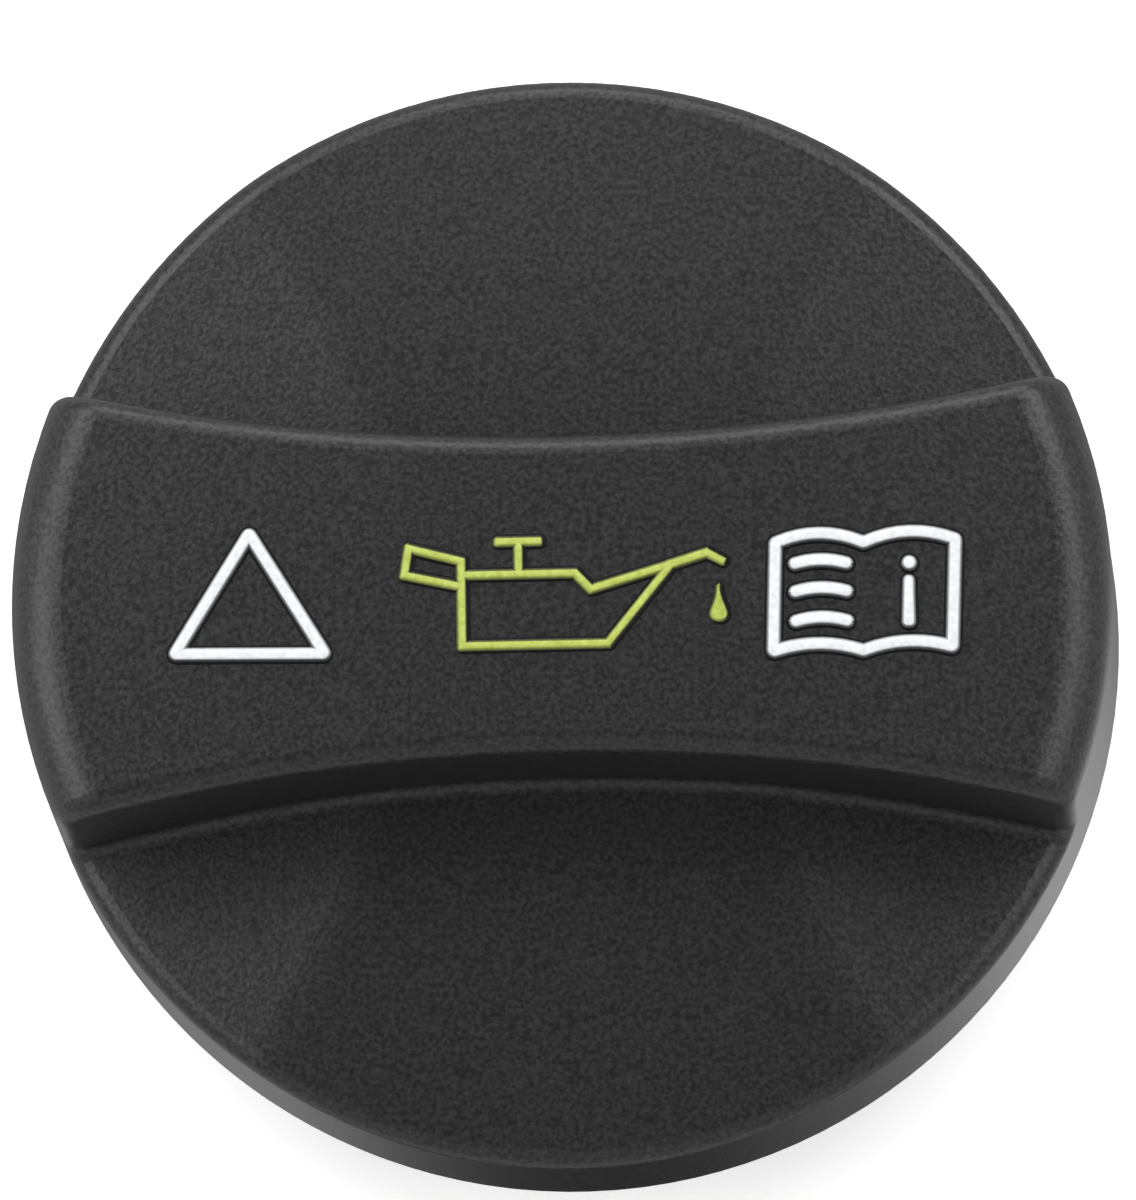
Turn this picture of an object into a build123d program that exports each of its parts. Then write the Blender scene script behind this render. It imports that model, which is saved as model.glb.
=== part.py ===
from build123d import *
from math import degrees, radians, tan
import os

# Oil filler cap: a moulded grip cover, the bayonet plug welded inside it and the plug's rubber seal.
# Millimetres, +Z up. The origin is the centre of the seal's lower face, which seats on the filler neck.
# The grip bar runs along X.

# Seal
seal_thickness = 3.0
seal_width = 6.8
seal_edge_round = 0.4
seal_clearance = 0.15     # seal to the stem and to the lip round it

# Bayonet plug
stem_radius = 18.0
stem_wall = 2.6
stem_tail = 4.2           # plain pilot end of the stem below the lugs
tail_step = 0.4           # the pilot end is this much slimmer
stem_end_chamfer = 0.8
stem_root_round = 1.0
flange_thickness = 2.5
lip_width = 2.2           # lip round the seal's seat
lip_depth = 1.2
lug_count = 3
lug_angle = 36.0          # degrees round the stem
lug_reach = 3.3
lug_height = 3.6
lug_drop = 4.2            # seal's lower face to the lugs' locking faces
lug_ramp = 8.0            # degrees, lead-in of the locking faces
stop_thickness = 2.0
stop_clearance = 2.4      # top of the turn stops below the seal

# Grip cover: underside
plug_clearance = 0.2      # plug in its ring and keys in their notches
ring_wall = 1.6           # ring that locates the plug
ring_depth = 3.0
rib_count = 12            # gussets between the ring and the skirt
rib_reach = 2.5
rib_thickness = 1.3
rib_depth = 5.0
key_count = 4             # keys that turn the plug
key_width = 3.0
notch_wall = 0.8          # lip left behind each key's notch

# Grip cover: skirt and disc
cover_wall = 2.4          # skirt and grip bar walls
wall_draft = 2.0          # degrees, lean of the skirt and the bar's ends
skirt_depth = 10.2        # from the underside of the disc to the skirt's lower edge
skirt_edge_round = 0.7
roof_thickness = 2.2      # disc at its thinnest, at the low ends of the side slopes
fan_drop = 2.0            # fall of the disc's middle from its crest to the front and back rim
slope_angle = 8.0         # degrees, fall of the flat slopes at both sides of the disc
slope_start = 9.7         # where they leave the crest, from the middle
crease_round = 15.0       # soft ridge between the middle and the slopes
edge_round = 1.3          # rim of the disc and edges of the grip bar

# Grip cover: bar
grip_height = 10.6        # top of the bar above the disc's crest
grip_waist = 19.3         # width across the top at the middle
grip_side_radius = 134.0  # hollow long sides, seen from above
grip_draft = 2.5          # degrees
grip_crown_radius = 380.0
grip_end_round = 3.6
grip_foot_round = 0.9
grip_rib = 1.5            # cross ribs inside the hollow bar
grip_rib_spacing = 24.0
grip_rib_lift = 3.0       # underside of the cross ribs above the plug

cut_margin = 2.0          # how far cutting solids reach past what they cut
bottom_up = (Align.CENTER, Align.CENTER, Align.MIN)

# Heights, from the seal's lower face
roof_z = seal_thickness + flange_thickness
lip_z = seal_thickness - lip_depth
ring_z = roof_z - ring_depth
skirt_z = roof_z - skirt_depth
lug_low_z = -lug_drop - lug_height
stem_low_z = lug_low_z - stem_tail

# Radii, from the stem outwards
stem_inner = stem_radius - stem_wall
lug_root = stem_radius - stem_wall / 2
tail_radius = stem_radius - tail_step
lug_outer = stem_radius + lug_reach
seal_inner = stem_radius + seal_clearance
seal_outer = seal_inner + seal_width
lip_inner = seal_outer + seal_clearance
notch_inner = lip_inner + notch_wall
key_inner = notch_inner + plug_clearance
flange_radius = lip_inner + lip_width
ring_inner = flange_radius + plug_clearance
ring_outer = ring_inner + ring_wall
skirt_inner = ring_outer + rib_reach
cover_radius = skirt_inner + cover_wall  # outer wall, level with the underside of the disc

# Heights of the disc and the bar
slope_z = roof_z + roof_thickness
crest_z = slope_z + (cover_radius - slope_start) * tan(radians(slope_angle))
crown_z = crest_z + grip_height


def wall_radius(z):
    return cover_radius + (roof_z - z) * tan(radians(wall_draft))


def block(inner, outer, low_z, high_z):
    """Rectangle in the half section that gets turned about the axis."""
    return Polygon((inner, low_z), (outer, low_z), (outer, high_z), (inner, high_z), align=None)


def turned(section, angle=360):
    return revolve(Plane.XZ * section, Axis.Z, angle)


def around(count, solid):
    """Copies of a solid on +X, evenly spaced about the axis and clear of the ends of the bar."""
    return PolarLocations(0, count, start_angle=180 / count) * solid


def grip_envelope(inset, low_z, shoulder_round):
    """Solid inside the cover's leaning wall and the bar's crowned top, both moved in by inset."""
    high_z = crown_z + cut_margin
    low_corner = (wall_radius(low_z) - inset, low_z)
    high_corner = (wall_radius(high_z) - inset, high_z)
    section = Polygon((0, low_z), low_corner, high_corner, (0, high_z), align=None)
    section &= Pos(0, crown_z - grip_crown_radius) * Circle(grip_crown_radius - inset)
    outer = section.vertices().filter_by(lambda v: v.X > cover_radius / 2)
    return turned(fillet(outer.sort_by(Axis.Y)[-1], shoulder_round))


def beside_grip(side, wall):
    """Space beside the bar: a wide upright cone whose flank is the bar's hollow, drafted long side.
    wall moves the flank towards the bar's middle."""
    lean = tan(radians(grip_draft))
    low_z = roof_z - cut_margin
    high_z = crown_z + cut_margin
    low_radius = grip_side_radius + wall - (crown_z - low_z) * lean
    high_radius = grip_side_radius + wall + (high_z - crown_z) * lean
    axis_y = side * (grip_waist / 2 + grip_side_radius)
    return Pos(0, axis_y, low_z) * Cone(low_radius, high_radius, high_z - low_z, align=bottom_up)


def disc_floor():
    """Solid under the disc's top: a gentle arch from front to back, cut at both sides by a flat slope,
    with a soft ridge where they meet."""
    reach = cover_radius + 2 * cut_margin
    depth = crest_z - roof_z + 2 * cut_margin
    fan_radius = (cover_radius**2 + fan_drop**2) / (2 * fan_drop)
    floor = Pos(0, 0, roof_z - cut_margin) * Cylinder(reach, depth, align=bottom_up)
    floor &= Pos(0, 0, crest_z - fan_radius) * Rot(0, 90, 0) * Cylinder(fan_radius, 3 * reach)
    for side in (-1, 1):
        slope = Rot(0, side * slope_angle, 0) * Box(3 * reach, 3 * reach, depth, align=bottom_up)
        floor -= Pos(side * slope_start, 0, crest_z) * slope
    ridges = [e for e in floor.edges().filter_by(GeomType.ELLIPSE) if abs(e.center().X) < reach / 2]
    return fillet(ridges, crease_round)


def side_cutter(side, floor):
    """What is taken away beside the bar, down to the disc, with the bar's foot rounded."""
    reach = Pos(0, 0, roof_z) * Cylinder(cover_radius + cut_margin, crown_z, align=bottom_up)
    space = (beside_grip(side, 0) & reach) - floor
    flank = space.faces().filter_by(GeomType.CONE).sort_by(SortBy.AREA)[-1]
    foot = [e for e in flank.edges() if e.bounding_box().max.Z < crest_z + edge_round]
    return fillet(foot, grip_foot_round)


def disc_core(side, floor):
    """Space under the disc beside the bar, which keeps the disc as thin in the middle as at its rim."""
    inside = Pos(0, 0, roof_z - cut_margin) * Cylinder(seal_outer, crown_z, align=bottom_up)
    return beside_grip(side, 0) & (Pos(0, 0, -roof_thickness) * floor) & inside


def grip_hollow():
    """Core of the bar, one wall inside it, with the plug's ring and two cross ribs left standing in it."""
    inner_round = max(grip_end_round - cover_wall, edge_round)
    hollow = grip_envelope(cover_wall, roof_z - cut_margin, inner_round)
    for side in (-1, 1):
        hollow -= beside_grip(side, cover_wall)
    hollow -= turned(block(ring_inner, ring_outer, ring_z, crown_z))
    rib_z = roof_z + grip_rib_lift
    rib = Box(grip_rib, 2 * cover_radius, crown_z - rib_z, align=bottom_up)
    for side in (-1, 1):
        hollow -= Pos(side * grip_rib_spacing / 2, 0, rib_z) * rib
    return hollow


def make_cover():
    """Disc, skirt and bar, cut from one turned solid, then hollowed and ribbed from beneath."""
    envelope = grip_envelope(0, skirt_z, grip_end_round)
    envelope = fillet(envelope.edges().filter_by(GeomType.CIRCLE).sort_by(Axis.Z)[0], skirt_edge_round)
    floor = disc_floor()
    cutters = [side_cutter(side, floor) for side in (-1, 1)]
    cover = envelope - cutters
    cover = fillet(new_edges(envelope, *cutters, combined=cover), edge_round)

    low_z = skirt_z - cut_margin
    low_radius = wall_radius(low_z) - cover_wall
    cover -= Pos(0, 0, low_z) * Cone(low_radius, skirt_inner, roof_z - low_z, align=bottom_up)
    cover -= [grip_hollow()] + [disc_core(side, floor) for side in (-1, 1)]
    cover += turned(block(ring_inner, ring_outer, ring_z, roof_z))

    # Each gusset and key starts inside the wall that carries it.
    rib_root = ring_outer - ring_wall / 2
    rib_end = skirt_inner + cover_wall / 2
    rib_z = roof_z - rib_depth
    rib = Polygon(
        (rib_root, roof_z), (rib_root, ring_z), (ring_outer, ring_z),
        (skirt_inner, rib_z), (rib_end, rib_z), (rib_end, roof_z),
        align=None,
    )
    cover += around(rib_count, extrude(Plane.XZ * rib, rib_thickness / 2, both=True))
    key = extrude(Plane.XZ * block(key_inner, rib_root, ring_z, roof_z), key_width / 2, both=True)
    return cover + around(key_count, key)


def make_lug():
    """One locking lug on +X: an arc block whose upper face ramps down to its leading end, with a turn
    stop standing on the trailing end."""
    lug = Rot(0, 0, -lug_angle / 2) * turned(block(lug_root, lug_outer, lug_low_z, -lug_drop), lug_angle)
    ramp = Box(2 * lug_outer, 2 * lug_outer, 2 * lug_height, align=bottom_up)
    lug -= Pos(lug_outer, 0, -lug_drop) * Rot(lug_ramp, 0, 0) * ramp
    stop_angle = degrees(stop_thickness / lug_outer)
    stop = turned(block(lug_root, lug_outer, lug_low_z, -stop_clearance), stop_angle)
    return lug + Rot(0, 0, lug_angle / 2 - stop_angle) * stop


def make_plug():
    """Closed stem with a flange over it, a lip round the seal's seat, and the locking lugs."""
    section = Polygon(
        (0, roof_z),
        (flange_radius, roof_z),
        (flange_radius, lip_z),
        (lip_inner, lip_z),
        (lip_inner, seal_thickness),
        (stem_radius, seal_thickness),
        (stem_radius, lug_low_z),
        (tail_radius, lug_low_z),
        (tail_radius, stem_low_z + stem_end_chamfer),
        (tail_radius - stem_end_chamfer, stem_low_z),
        (stem_inner, stem_low_z),
        (stem_inner, seal_thickness),
        (0, seal_thickness),
        align=None,
    )
    root = section.vertices().filter_by(lambda v: abs(v.X - stem_inner) < seal_clearance)
    plug = turned(fillet(root.sort_by(Axis.Y)[-1], stem_root_round))

    notch = block(notch_inner, flange_radius + cut_margin, lip_z - cut_margin, roof_z + cut_margin)
    plug -= around(key_count, extrude(Plane.XZ * notch, key_width / 2 + plug_clearance, both=True))
    return plug + around(lug_count, make_lug())


def make_seal():
    """Flat rubber ring with rounded edges."""
    section = block(seal_inner, seal_outer, 0, seal_thickness)
    return turned(fillet(section.vertices(), seal_edge_round))


nodes = {
    "grip_cover": make_cover(),
    "bayonet_plug": make_plug(),
    "seal_ring": make_seal(),
}
os.makedirs("parts", exist_ok=True)
for name, solid in nodes.items():
    solid.label = name
    export_step(solid, f"parts/{name}.step")
    print(name, round(solid.volume), "mm3")
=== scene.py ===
import bpy
import math
import numpy as np
from mathutils import Matrix, Vector


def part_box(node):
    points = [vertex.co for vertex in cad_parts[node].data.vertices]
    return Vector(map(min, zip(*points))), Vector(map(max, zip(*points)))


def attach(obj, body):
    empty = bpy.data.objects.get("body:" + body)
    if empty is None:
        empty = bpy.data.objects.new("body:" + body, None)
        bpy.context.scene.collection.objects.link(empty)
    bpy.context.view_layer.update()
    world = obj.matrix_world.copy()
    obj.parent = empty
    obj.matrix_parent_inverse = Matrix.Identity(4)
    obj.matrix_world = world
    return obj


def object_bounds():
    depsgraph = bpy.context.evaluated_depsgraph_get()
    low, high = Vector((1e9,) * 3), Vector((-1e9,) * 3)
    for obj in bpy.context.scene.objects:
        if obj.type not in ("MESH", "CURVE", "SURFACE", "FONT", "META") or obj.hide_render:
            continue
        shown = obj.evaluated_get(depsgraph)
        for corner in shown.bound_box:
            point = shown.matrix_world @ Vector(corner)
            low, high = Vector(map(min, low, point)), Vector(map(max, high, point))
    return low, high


# Oil filler cap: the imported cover, plug and seal get their finishes, and raised signs go on the grip bar.
# Metres everywhere; sizes of the signs and of surface grain are written in millimetres.
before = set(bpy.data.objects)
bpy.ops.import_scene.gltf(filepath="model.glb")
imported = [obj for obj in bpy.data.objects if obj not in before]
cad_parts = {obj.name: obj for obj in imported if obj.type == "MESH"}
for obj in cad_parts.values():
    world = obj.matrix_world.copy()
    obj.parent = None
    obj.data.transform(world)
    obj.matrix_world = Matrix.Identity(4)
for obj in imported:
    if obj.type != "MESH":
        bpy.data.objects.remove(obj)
cadLow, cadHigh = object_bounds()
mm = 0.001
print("frame loaded:", ", ".join(sorted(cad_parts)))


# sRGB hex to linear RGBA
def linearColour(hexCode):
    srgb = np.array([int(hexCode[i:i + 2], 16) for i in (1, 3, 5)]) / 255
    linear = np.where(srgb <= 0.04045, srgb / 12.92, ((srgb + 0.055) / 1.055) ** 2.4)
    return (*linear, 1.0)


# one node: settings go to its properties or free sockets, links join other nodes' outputs to its sockets
def addNode(tree, kind, settings=None, links=None):
    node = tree.nodes.new(kind)
    for name, value in (settings or {}).items():
        if isinstance(name, str) and hasattr(node, name):
            setattr(node, name, value)
        else:
            node.inputs[name].default_value = value
    for name, source in (links or {}).items():
        tree.links.new(source, node.inputs[name])
    return node


grainSwing = (0.3, 0.7)   # the grain noise mostly stays between these
foilAttribute = "foilThickness"   # on each point of a sign, as a share of the foil's full thickness


# A Principled surface whose colour follows two noises, grain and mottle, and its gloss, roughness and height
# the grain alone. A foil's colour gives way to the bare one under it where the mesh says that it is thin.
def mouldedSurface(name, look):
    material = bpy.data.materials.new(name)
    material.use_nodes = True
    tree = material.node_tree
    tree.nodes.clear()
    place = addNode(tree, "ShaderNodeTexCoord").outputs["Object"]
    grain = addNode(
        tree, "ShaderNodeTexNoise",
        {"Scale": 1 / (look["grainSize"] * mm), "Detail": look["grainDetail"]}, {"Vector": place},
    ).outputs["Fac"]
    mottle = addNode(
        tree, "ShaderNodeTexNoise", {"Scale": 1 / (look["mottleSize"] * mm)}, {"Vector": place},
    ).outputs["Fac"]
    speckle = addNode(
        tree, "ShaderNodeMath", {"operation": "MULTIPLY_ADD", 1: look["mottleShare"]},
        {0: mottle, 2: grain},
    ).outputs[0]
    ramp = addNode(tree, "ShaderNodeValToRGB", links={"Fac": speckle})
    for stop, position, shade in zip(ramp.color_ramp.elements, look["speckle"], ("dark", "pale")):
        stop.position = position
        stop.color = linearColour(look[shade])
    colour = ramp.outputs["Color"]
    if "bare" in look:
        thickness = addNode(tree, "ShaderNodeAttribute", {"attribute_name": foilAttribute}).outputs["Fac"]
        # a colour mix takes the share at 0 and the colours at 6 and 7, and gives the mix at output 2
        colour = addNode(
            tree, "ShaderNodeMix", {"data_type": "RGBA", 6: linearColour(look["bare"])},
            {0: thickness, 7: colour},
        ).outputs[2]
    rough, gloss = (
        addNode(
            tree, "ShaderNodeMapRange",
            {"From Min": grainSwing[0], "From Max": grainSwing[1], "To Min": inPits, "To Max": onTops},
            {"Value": grain},
        ).outputs["Result"]
        for inPits, onTops in (look["rough"], look["gloss"])
    )
    bump = addNode(
        tree, "ShaderNodeBump", {"Distance": look["grainDepth"] * mm}, {"Height": grain},
    ).outputs["Normal"]
    surface = addNode(
        tree, "ShaderNodeBsdfPrincipled", {"IOR": look["ior"]},
        {"Base Color": colour, "Roughness": rough, "Specular IOR Level": gloss, "Normal": bump},
    ).outputs["BSDF"]
    addNode(tree, "ShaderNodeOutputMaterial", links={"Surface": surface})
    return material


# In each look, speckle is where on the noises the colour turns from dark to pale, rough and gloss are given
# in the grain's pits and on its tops, and sizes are in millimetres.

# Glass-filled nylon moulded in a spark-eroded tool: near black, satin, with an even sparkle of grain. The
# grain's pits shade their own gloss, so the gloss goes with the grain. Real pits are about 0.1 mm across,
# too fine to show, so they are drawn three times as coarse.
coverLook = {
    "dark": "#151515", "pale": "#232324", "speckle": (0.3, 0.8), "mottleShare": 0.1, "mottleSize": 0.9,
    "grainSize": 0.30, "grainDetail": 1.0, "grainDepth": 0.023,
    "rough": (0.37, 0.43), "gloss": (0.38, 0.62), "ior": 1.53,
}
# The same nylon from a polished tool: black, smoother, with slow glossy and dull clouds where it flowed.
plugLook = {
    "dark": "#141415", "pale": "#1f1f20", "speckle": (0.4, 1.0), "mottleShare": 0.6, "mottleSize": 5.0,
    "grainSize": 1.1, "grainDetail": 3.0, "grainDepth": 0.010,
    "rough": (0.3, 0.46), "gloss": (0.45, 0.55), "ior": 1.53,
}
# Compression-moulded nitrile rubber: dead matt black with a dusty grey bloom.
sealLook = {
    "dark": "#121212", "pale": "#242423", "speckle": (0.4, 1.05), "mottleShare": 0.5, "mottleSize": 2.5,
    "grainSize": 0.35, "grainDetail": 3.0, "grainDepth": 0.02,
    "rough": (0.62, 0.8), "gloss": (0.35, 0.5), "ior": 1.52,
}
# Smooth wall of a raised sign: the same nylon where the tool has no grain, painted blacker than the cover.
# That darker colour and the weak gloss are painted shade, the dark edge round each sign.
signWallPaintedShadeLook = {
    "dark": "#0d0d0e", "pale": "#131314", "speckle": (0.3, 1.0), "mottleShare": 0.4, "mottleSize": 2.0,
    "grainSize": 0.5, "grainDetail": 2.0, "grainDepth": 0.001,
    "rough": (0.5, 0.58), "gloss": (0.16, 0.2), "ior": 1.53,
}
# Hot-stamped foil on the signs' tops: satin, slightly uneven where it bridges the grain below, and thin
# down the walls, where the black nylon shows through.
# The bare colour under thin foil is as dark as the sign walls' painted shade.
whiteFoilLook = {
    "dark": "#d9dddf", "pale": "#eef1f3", "speckle": (0.35, 0.9), "mottleShare": 0.3, "mottleSize": 0.9,
    "grainSize": 0.34, "grainDetail": 1.0, "grainDepth": 0.006,
    "rough": (0.4, 0.55), "gloss": (0.4, 0.5), "ior": 1.48, "bare": "#0f0f10",
}
limeFoilLook = {
    **whiteFoilLook, "dark": "#a5b34a", "pale": "#c0cf66", "speckle": (0.35, 0.95), "mottleShare": 0.4,
}
nodeFinishes = {
    "grip_cover": mouldedSurface("spark_eroded_glass_filled_nylon", coverLook),
    "bayonet_plug": mouldedSurface("polished_tool_glass_filled_nylon", plugLook),
    "seal_ring": mouldedSurface("compression_moulded_nitrile_rubber", sealLook),
}
for nodeName, finish in nodeFinishes.items():
    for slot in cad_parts[nodeName].material_slots:
        slot.material = finish
# the sign walls' nylon, darkened as painted shade round the signs
signWallPaintedShade = mouldedSurface("sign_wall_nylon_painted_shade", signWallPaintedShadeLook)
whiteFoil = mouldedSurface("hot_stamped_white_foil", whiteFoilLook)
limeFoil = mouldedSurface("hot_stamped_lime_foil", limeFoilLook)
print("finishes set on", len(nodeFinishes), "nodes")

# Raised signs on the bar's top, in millimetres: x along the bar, y across it. Their edge profile runs from
# the foot in the grained surface, up the smooth wall and over the shoulder to the flat top; out is measured
# from the top's edge.
signEdge = {
    "out": np.array([0.36, 0.30, 0.19, 0.07, 0.0, -0.06]),
    "height": np.array([-0.05, 0.02, 0.13, 0.23, 0.31, 0.33]),
    "foilFade": (0.18, 0.30),   # heights over the bar where the foil begins and where it is whole
    "overlapDrop": 0.004,   # each shape laid over another is this much lower
    "leastRound": 0.03,   # radius of a corner that an offset would make sharp
    "sharpAngle": 40,   # degrees, past which an edge is shaded sharp
    "arcSteps": 6, "edgeSteps": 7, "roundSteps": 48,
}
barTop = {"crownRadius": 380.0, "height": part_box("grip_cover")[1].z / mm}   # millimetres


# Height of the crowned bar: a sphere of the crown radius under its highest point.
def crownHeight(x, y):
    radius = barTop["crownRadius"]
    return barTop["height"] - radius + np.sqrt(radius**2 - x**2 - y**2)


# Rings round a closed outline at signed distances from it, plus outwards: corners turn on arcs of the
# corner round plus that distance, edges bow out by their bulge as a parabola and move along its normals.
# Gives an array of distance, point, xy.
def outlineRings(corners, bulges, cornerRound, distances):
    corner = np.asarray(corners, float)
    edge = np.roll(corner, -1, 0) - corner
    length = np.linalg.norm(edge, axis=1)[:, None, None]
    along = edge[:, None] / length
    outward = np.stack([along[..., 1], -along[..., 0]], -1)
    bulge = np.broadcast_to(np.asarray(bulges, float), len(corner))[:, None, None]
    away = np.asarray(distances, float)[:, None, None, None]

    # normal of each bowed edge at a share of its length
    def normalAt(share):
        slope = 4 * bulge * (1 - 2 * share) / length
        return (outward - slope * along) / np.sqrt(1 + slope**2)

    # the bowed edge at a share of its length, moved out
    def curveAt(share):
        bow = 4 * bulge * share * (1 - share) * outward
        return corner[:, None] + share * edge[:, None] + bow + away * normalAt(share)

    leaving = normalAt(0)[:, 0]
    arriving = np.roll(normalAt(1)[:, 0], 1, 0)
    cosine = (arriving * leaving).sum(1)
    sine = arriving[:, 0] * leaving[:, 1] - arriving[:, 1] * leaving[:, 0]
    turn = np.arctan2(sine, cosine)
    side = np.where(turn < 0, -1.0, 1.0)[:, None, None]
    mitre = (arriving + leaving) / (1 + cosine)[:, None]
    radius = np.maximum(cornerRound + side * away, signEdge["leastRound"])
    angle = turn[:, None] * np.linspace(0, 1, signEdge["arcSteps"])
    swung = np.stack([
        arriving[:, :1] * np.cos(angle) - arriving[:, 1:] * np.sin(angle),
        arriving[:, :1] * np.sin(angle) + arriving[:, 1:] * np.cos(angle),
    ], -1)
    arcs = corner[:, None] + (away - side * radius) * mitre[:, None] + side * radius * swung
    # between the arcs each edge follows its bowed curve, pulled at both ends onto the arcs
    start, end = arcs[:, :, -1:], np.roll(arcs[:, :, :1], -1, 1)
    first, last = (
        ((point - corner[:, None] - away * normalAt(share)) * along).sum(-1, keepdims=True) / length
        for point, share in ((start, 0), (end, 1))
    )
    step = np.linspace(0, 1, signEdge["edgeSteps"] + 2)[1:-1, None]
    edges = curveAt(first + (last - first) * step)
    edges += (1 - step) * (start - curveAt(first)) + step * (end - curveAt(last))
    return np.concatenate([arcs, edges], 2).reshape(len(distances), -1, 2)


# Corners of a stroke's outline: half its width to the right along the path, then to the left coming back.
def strokeCorners(path, widths):
    path = np.asarray(path, float)
    step = np.diff(path, axis=0)
    step /= np.linalg.norm(step, axis=1)[:, None]
    before, after = np.vstack([step[:1], step]), np.vstack([step, step[-1:]])
    normal = np.c_[before[:, 1] + after[:, 1], -before[:, 0] - after[:, 0]]
    normal /= (1 + (before * after).sum(1))[:, None]
    offset = normal * np.asarray(widths, float)[:, None] / 2
    return np.vstack([path + offset, (path - offset)[::-1]])


# Solid of one sign shape: rings of points, each at its own height over the crown, joined by quads. A
# frame's last ring joins its first; a filled shape is closed by its first and last rings.
def signShape(rings, heights, filled, drop):
    x, y = rings[..., 0], rings[..., 1]
    z = crownHeight(x, y) + heights[:, None] - drop * (heights[:, None] > 0)
    points = np.stack([x, y, z], -1).reshape(-1, 3)
    rows, columns = x.shape
    row, column = np.meshgrid(np.arange(rows - filled), np.arange(columns), indexing="ij")
    here, below, across = row * columns, (row + 1) % rows * columns, (column + 1) % columns
    quads = np.stack([here + column, here + across, below + across, below + column], -1)
    faces = quads.reshape(-1, 4).tolist()
    if filled:
        faces += [((rows - 1) * columns + np.arange(columns)).tolist(), np.arange(columns)[::-1].tolist()]
    return points, faces


# A frame of even width on a closed centre line.
def frameShape(corners, width, cornerRound, bulges=0, drop=0):
    out, height = signEdge["out"] + width / 2, signEdge["height"]
    rings = outlineRings(corners, bulges, cornerRound - width / 2, np.r_[out, -out[::-1]])
    return signShape(rings, np.r_[height, height[::-1]], False, drop)


# A filled outline.
def filledShape(corners, cornerRound, bulges=0, drop=0):
    rings = outlineRings(corners, bulges, cornerRound, signEdge["out"])
    return signShape(rings, signEdge["height"], True, drop)


# A filled round shape about a centre: a drop whose half width is the sine of the way round times a power
# of the sine of half of it, or a dot where that power is nought. Inner rings shrink, so that they can't
# cross at the drop's tip.
def roundShape(centre, halfWidth, halfHeight, taper):
    way = np.linspace(0, 2 * np.pi, signEdge["roundSteps"], endpoint=False)
    outline = np.c_[-halfWidth * np.sin(way) * np.sin(way / 2) ** taper, halfHeight * np.cos(way)]
    tangent = np.roll(outline, -1, 0) - np.roll(outline, 1, 0)
    normal = np.c_[tangent[:, 1], -tangent[:, 0]] / np.linalg.norm(tangent, axis=1)[:, None]
    out = signEdge["out"][:, None, None]
    shrunk = outline * (1 + np.minimum(out, 0) / halfWidth)
    rings = np.asarray(centre) + shrunk + np.maximum(out, 0) * normal
    return signShape(rings, signEdge["height"], True, 0)


# One mesh object from several sign shapes. The foil's thickness at a point goes by its height over the bar
# plus the part of the stamp's slip that it faces: a slipped stamp draws foil down the walls on one side
# and bares the other shoulder.
def buildSign(name, shapes, foil, slip):
    starts = np.cumsum([0] + [len(points) for points, _ in shapes])
    points = np.vstack([points for points, _ in shapes])
    faces = [
        [index + start for index in face]
        for (_, part), start in zip(shapes, starts) for face in part
    ]
    mesh = bpy.data.meshes.new(name)
    mesh.from_pydata((points * mm).tolist(), [], faces)
    mesh.materials.append(signWallPaintedShade)
    mesh.materials.append(foil)
    facing = np.empty((len(points), 3), np.float32)
    mesh.vertex_normals.foreach_get("vector", facing.ravel())
    height = points[:, 2] - crownHeight(points[:, 0], points[:, 1])
    thickness = np.interp(height + facing[:, :2] @ np.array(slip, float), signEdge["foilFade"], (0, 1))
    attribute = mesh.attributes.new(foilAttribute, "FLOAT", "POINT")
    attribute.data.foreach_set("value", thickness.astype(np.float32))
    # a face is foil where any of its corners has some
    firstCorners = np.cumsum([0] + [len(face) for face in faces[:-1]])
    isFoil = np.maximum.reduceat(thickness[np.concatenate(faces)], firstCorners) > 0
    mesh.polygons.foreach_set("material_index", isFoil.astype(np.int32))
    mesh.polygons.foreach_set("use_smooth", np.ones(len(faces), bool))
    mesh.set_sharp_from_angle(angle=math.radians(signEdge["sharpAngle"]))
    mesh.update()
    sign = bpy.data.objects.new(name, mesh)
    bpy.context.scene.collection.objects.link(sign)
    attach(sign, "root")
    print("sign", name, "has", len(faces), "faces")


# plain triangle
triangle = {
    "left": (-23.375, -3.34), "right": (-14.22, -3.54), "apex": (-18.76, 3.92),
    "stroke": 0.53, "cornerRound": 0.33, "foilSlip": (0, 0.06),
}
triangleCorners = [triangle[k] for k in ("left", "right", "apex")]
triangleShape = frameShape(triangleCorners, triangle["stroke"], triangle["cornerRound"])
buildSign("sign_triangle", [triangleShape], whiteFoil, triangle["foilSlip"])

# oil can with its handle, filler knob, spout and drop
can = {
    "stroke": 0.31, "cornerRound": 0.06, "foilSlip": (-0.11, -0.03),
    "left": -5.82, "low": -3.23, "top": 1.09, "lowRight": 2.98, "shoulder": 1.06,
    "notch": (2.01, 0.10), "spoutRoot": (6.90, 1.53),
    "handleTop": (-9.01, 2.80), "handleLow": (-9.28, 1.17),
    "handleJoin": (0.39, 1.95),   # heights where the handle meets the body's left side
    "knobMiddle": -2.35, "knobHeight": 3.09, "knobHalfSpan": 1.36, "knobStroke": 0.33,
    "spoutPath": [(6.66, 1.46), (9.04, 2.20), (10.08, 1.64)], "spoutWidths": [0.37, 0.35, 0.30],
    "dropMiddle": (9.74, -0.86), "dropHalfWidth": 0.80, "dropHalfHeight": 1.03, "dropTaper": 4.0,
}
canBody = [
    (can["left"], can["low"]), (can["lowRight"], can["low"]), can["spoutRoot"], can["notch"],
    (can["shoulder"], can["top"]), (can["left"], can["top"]),
]
canHandle = [
    (can["left"], can["handleJoin"][1]), can["handleTop"], can["handleLow"],
    (can["left"], can["handleJoin"][0]),
]
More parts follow.
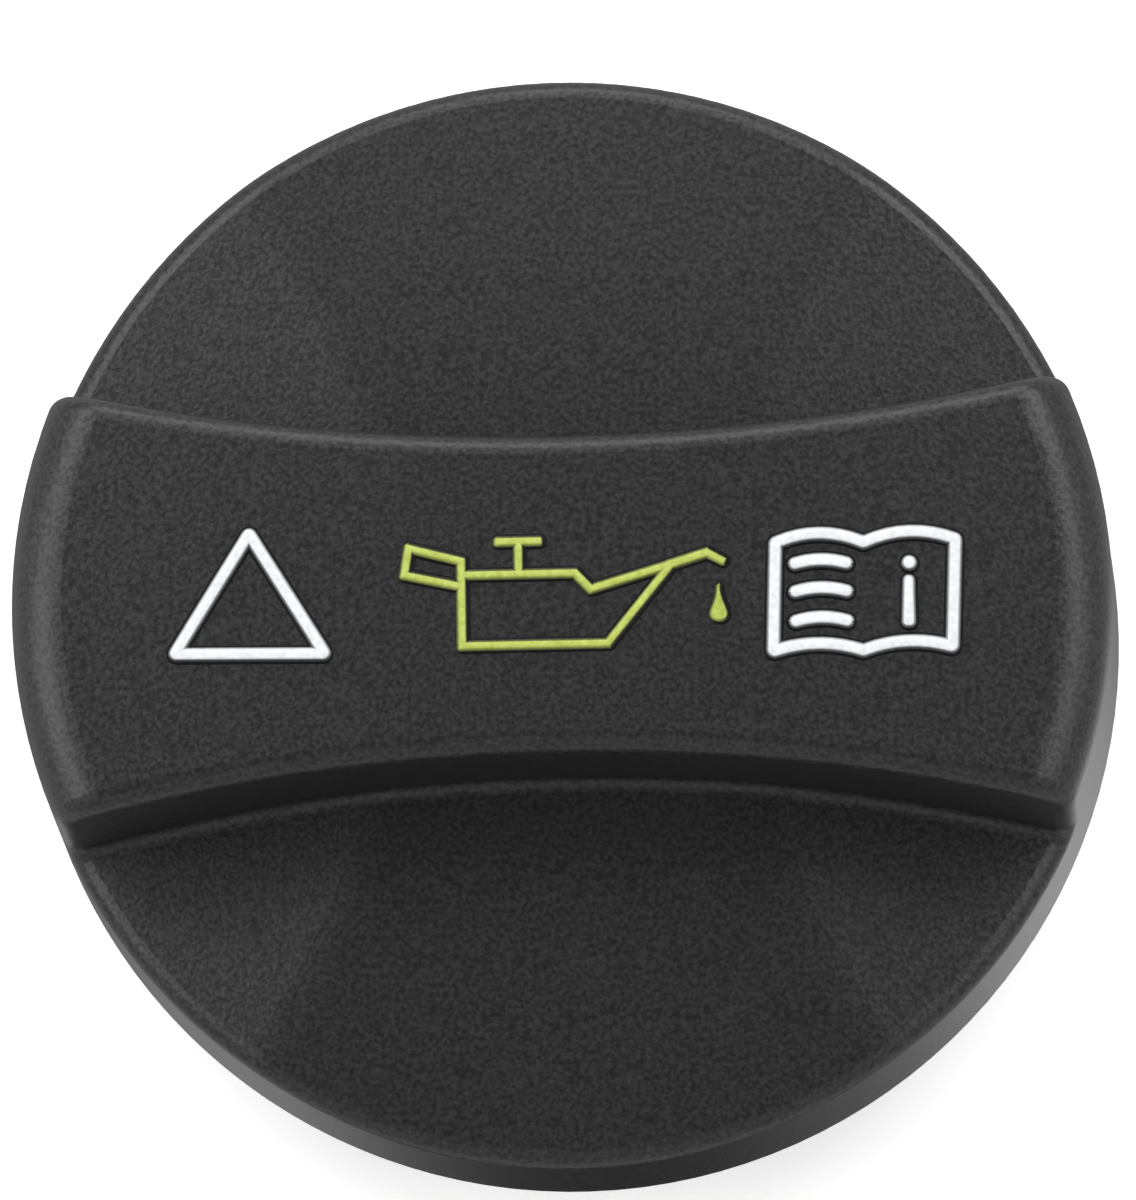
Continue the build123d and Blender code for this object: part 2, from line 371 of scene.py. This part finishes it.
knobStem = strokeCorners(
    [(can["knobMiddle"], can["top"]), (can["knobMiddle"], can["knobHeight"])], [can["stroke"]] * 2
)
knobBar = strokeCorners(
    [(can["knobMiddle"] + side * can["knobHalfSpan"], can["knobHeight"]) for side in (-1, 1)],
    [can["knobStroke"]] * 2,
)
spout = strokeCorners(can["spoutPath"], can["spoutWidths"])
layer = signEdge["overlapDrop"]
canShapes = [
    frameShape(canBody, can["stroke"], can["cornerRound"]),
    frameShape(canHandle, can["stroke"], can["cornerRound"], drop=layer),
    filledShape(knobBar, can["cornerRound"], drop=2 * layer),
    filledShape(knobStem, can["cornerRound"], drop=3 * layer),
    filledShape(spout, can["cornerRound"], drop=layer),
    roundShape(can["dropMiddle"], can["dropHalfWidth"], can["dropHalfHeight"], can["dropTaper"]),
]
buildSign("sign_oil_can", canShapes, limeFoil, can["foilSlip"])

# open book with three lines of print and an information mark
book = {
    "stroke": 0.54, "cornerRound": 0.36, "foilSlip": (0, 0.045),
    "topLeft": (13.17, 2.69), "topFold": (18.50, 2.65), "topRight": (24.06, 2.79), "topBulge": 0.57,
    "lowRight": (23.78, -3.79), "lowFold": (18.38, -3.95), "lowLeft": (12.93, -3.95), "lowBulge": 0.45,
    "lineX": (14.06, 17.70), "lineY": (1.31, -0.405, -2.21),
    "lineBulge": 0.31, "lineStroke": 0.57, "lineRound": 0.27,
    "markTop": (21.20, 0.51), "markLow": (21.15, -2.42), "markWidths": (0.42, 0.56), "markRound": 0.19,
    "dotMiddle": (21.245, 1.38), "dotRadius": 0.315,
}
bookCorners = [book[k] for k in ("lowLeft", "lowFold", "lowRight", "topRight", "topFold", "topLeft")]
bookBulges = [-book["lowBulge"], -book["lowBulge"], 0, book["topBulge"], book["topBulge"], 0]
bookShapes = [frameShape(bookCorners, book["stroke"], book["cornerRound"], bookBulges)]
for lineY in book["lineY"]:
    lineCorners = strokeCorners([(x, lineY) for x in book["lineX"]], [book["lineStroke"]] * 2)
    lineBulges = [-book["lineBulge"], 0, book["lineBulge"], 0]
    bookShapes.append(filledShape(lineCorners, book["lineRound"], lineBulges))
markCorners = strokeCorners([book["markTop"], book["markLow"]], book["markWidths"])
bookShapes.append(filledShape(markCorners, book["markRound"]))
bookShapes.append(roundShape(book["dotMiddle"], book["dotRadius"], book["dotRadius"], 0))
buildSign("sign_book", bookShapes, whiteFoil, book["foilSlip"])

# Pale matt tabletop: a flat round sheet in polar rings, their radii growing as a square.
floorLook = {
    "radius": 3.0, "rings": 24, "spokes": 96,
    "colour": "#fbfbfa", "roughness": 0.9, "glowColour": "#ffffff", "glow": 0.45,
}
ringRadius = floorLook["radius"] * np.linspace(0, 1, floorLook["rings"] + 1)[1:] ** 2
spokeAngle = np.linspace(0, 2 * np.pi, floorLook["spokes"], endpoint=False)
flat = np.stack([
    np.outer(ringRadius, np.cos(spokeAngle)), np.outer(ringRadius, np.sin(spokeAngle)),
    np.full((len(ringRadius), len(spokeAngle)), cadLow.z),
], -1).reshape(-1, 3)
row, column = np.meshgrid(
    np.arange(floorLook["rings"] - 1), np.arange(floorLook["spokes"]), indexing="ij"
)
inner, across = row * floorLook["spokes"], (column + 1) % floorLook["spokes"]
outer = inner + floorLook["spokes"]
ringFaces = np.stack([inner + column, outer + column, outer + across, inner + across], -1)
middleFace = list(range(floorLook["spokes"]))
floorMesh = bpy.data.meshes.new("tabletop")
floorMesh.from_pydata(flat.tolist(), [], ringFaces.reshape(-1, 4).tolist() + [middleFace])
tabletop = bpy.data.objects.new("tabletop", floorMesh)
bpy.context.scene.collection.objects.link(tabletop)
tabletop.visible_glossy = False   # the tent's lower half stands for it in the skirt's mirror image
paint = bpy.data.materials.new("matt_white_tabletop_paint")
paint.use_nodes = True
paintSurface = paint.node_tree.nodes["Principled BSDF"]
paintSurface.inputs["Base Color"].default_value = linearColour(floorLook["colour"])
paintSurface.inputs["Roughness"].default_value = floorLook["roughness"]
paintSurface.inputs["Emission Color"].default_value = linearColour(floorLook["glowColour"])
paintSurface.inputs["Emission Strength"].default_value = floorLook["glow"]
floorMesh.materials.append(paint)
print("tabletop at", round(cadLow.z, 4), "m")

# Soft boxes of one width, each aimed at the cap: place in metres and power in watts.
softBoxWidth = 0.45
softBoxes = {
    "softBoxFarRight": {"place": (0.45, 0.45, 0.636), "power": 2.19},
    "softBoxFarLeft": {"place": (-0.45, 0.45, 0.636), "power": 2.12},
    "softBoxLeft": {"place": (-0.636, 0.0, 0.636), "power": 1.08},
    "softBoxRight": {"place": (0.636, 0.0, 0.636), "power": 1.02},
    "softBoxFarLow": {"place": (0.0, 0.816, 0.380), "power": 1.70},
    "softBoxLeftLow": {"place": (-0.816, 0.0, 0.380), "power": 1.20},
    "softBoxRightLow": {"place": (0.816, 0.0, 0.380), "power": 0.45},
}
for name, box in softBoxes.items():
    light = bpy.data.lights.new(name, "AREA")
    light.shape = "DISK"
    light.size = softBoxWidth
    light.energy = box["power"]
    softBox = bpy.data.objects.new(name, light)
    softBox.location = box["place"]
    softBox.rotation_euler = Vector(box["place"]).to_track_quat("Z", "Y").to_euler()
    bpy.context.scene.collection.objects.link(softBox)

# White light tent round the table: its cloth glows by the sine of the height above the horizon, most half
# way up and little towards the top, where the tent is open for the camera. Far below the horizon, where the
# skirt mirrors the table at its foot, the glow goes by the share of a full turn from the left through the
# near side instead: bright at the right and the near left, dark in the cap's own shadow on the near side.
tent = {
    "cloth": {
        "strength": 0.78,
        "glow": {
            -0.2: 0.9, -0.02: 0.9, 0.0: 0.68, 0.48: 0.68, 0.52: 1.0, 0.69: 1.0, 0.73: 0.67, 0.85: 0.67,
            0.88: 0.1, 1.0: 0.15,
        },
    },
    "foot": {
        "strength": 1.6,
        "glow": {
            0.0: 0.2, 0.06: 0.45, 0.1: 0.65, 0.14: 0.1, 0.18: 0.0, 0.29: 0.0, 0.333: 0.1, 0.375: 0.15,
            0.417: 0.3, 0.458: 0.8, 0.49: 1.0, 0.52: 0.8, 0.57: 0.2,
        },
    },
    "footBelow": (-0.9, -0.6),   # sines between which the foot gives way to the cloth
}
world = bpy.data.worlds.new("light_tent")
world.use_nodes = True
tentTree = world.node_tree
tentTree.nodes.clear()
direction = addNode(tentTree, "ShaderNodeTexCoord").outputs["Generated"]
sineHeight = addNode(tentTree, "ShaderNodeSeparateXYZ", links={"Vector": direction}).outputs["Z"]
heightShare = addNode(   # nought straight down, one straight up
    tentTree, "ShaderNodeMath", {"operation": "MULTIPLY_ADD", 1: 0.5, 2: 0.5}, {0: sineHeight},
).outputs[0]
turnShare = addNode(
    tentTree, "ShaderNodeTexGradient", {"gradient_type": "RADIAL"}, {"Vector": direction},
).outputs["Fac"]
tentLight = {}
for part, way, places in (
    ("foot", turnShare, list(tent["foot"]["glow"])),
    ("cloth", heightShare, [(sine + 1) / 2 for sine in tent["cloth"]["glow"]]),
):
    ramp = addNode(tentTree, "ShaderNodeValToRGB", links={"Fac": way})
    stops = ramp.color_ramp.elements
    stops.remove(stops[1])
    partStops = [stops[0]] + [stops.new(place) for place in places[1:]]
    for stop, place, share in zip(partStops, places, tent[part]["glow"].values()):
        stop.position = place
        stop.color = (share, share, share, 1)
    tentLight[part] = addNode(
        tentTree, "ShaderNodeBackground", {"Strength": tent[part]["strength"]},
        {"Color": ramp.outputs["Color"]},
    ).outputs["Background"]
isCloth = addNode(
    tentTree, "ShaderNodeMapRange",
    {
        "interpolation_type": "SMOOTHSTEP",
        "From Min": tent["footBelow"][0], "From Max": tent["footBelow"][1],
    },
    {"Value": sineHeight},
).outputs["Result"]
wholeTent = addNode(
    tentTree, "ShaderNodeMixShader", links={0: isCloth, 1: tentLight["foot"], 2: tentLight["cloth"]},
).outputs[0]
addNode(tentTree, "ShaderNodeOutputWorld", links={"Surface": wholeTent})
bpy.context.scene.world = world
bpy.context.scene.view_settings.view_transform = "Standard"
print("lit by", len(softBoxes), "soft boxes and the tent")

# Camera almost straight above, leaning to the near side and a little to the right, as a long lens sees the
# cap. Leans and roll in degrees, lens in millimetres; the aim is a little off the target, right and up.
eye = {
    "target": (0, 0, 0.010), "leanRight": 1.885, "leanNear": 7.832, "roll": 0.879,
    "distance": 0.640, "lens": 311.4, "aimRight": 0.000157, "aimUp": 0.001088,
    "clip": (0.01, 20),
}
target = Vector(eye["target"])
sideways, nearwards = (math.sin(math.radians(eye[lean])) for lean in ("leanRight", "leanNear"))
back = Vector((sideways, -nearwards, math.sqrt(1 - sideways**2 - nearwards**2)))
right = Vector((0, 1, 0)).cross(back).normalized()
right = Matrix.Rotation(-math.radians(eye["roll"]), 3, back) @ right
viewpoint = target + back * eye["distance"]
aim = target + right * eye["aimRight"] + back.cross(right) * eye["aimUp"]
back = (viewpoint - aim).normalized()
right = (right - back * right.dot(back)).normalized()
turned = Matrix((right, back.cross(right), back)).transposed()
lens = bpy.data.cameras.new("long_lens")
lens.lens = eye["lens"]
lens.clip_start, lens.clip_end = eye["clip"]
camera = bpy.data.objects.new("long_lens", lens)
camera.matrix_world = Matrix.Translation(viewpoint) @ turned.to_4x4()
bpy.context.scene.collection.objects.link(camera)
bpy.context.scene.camera = camera
print("camera", eye["distance"], "m away")
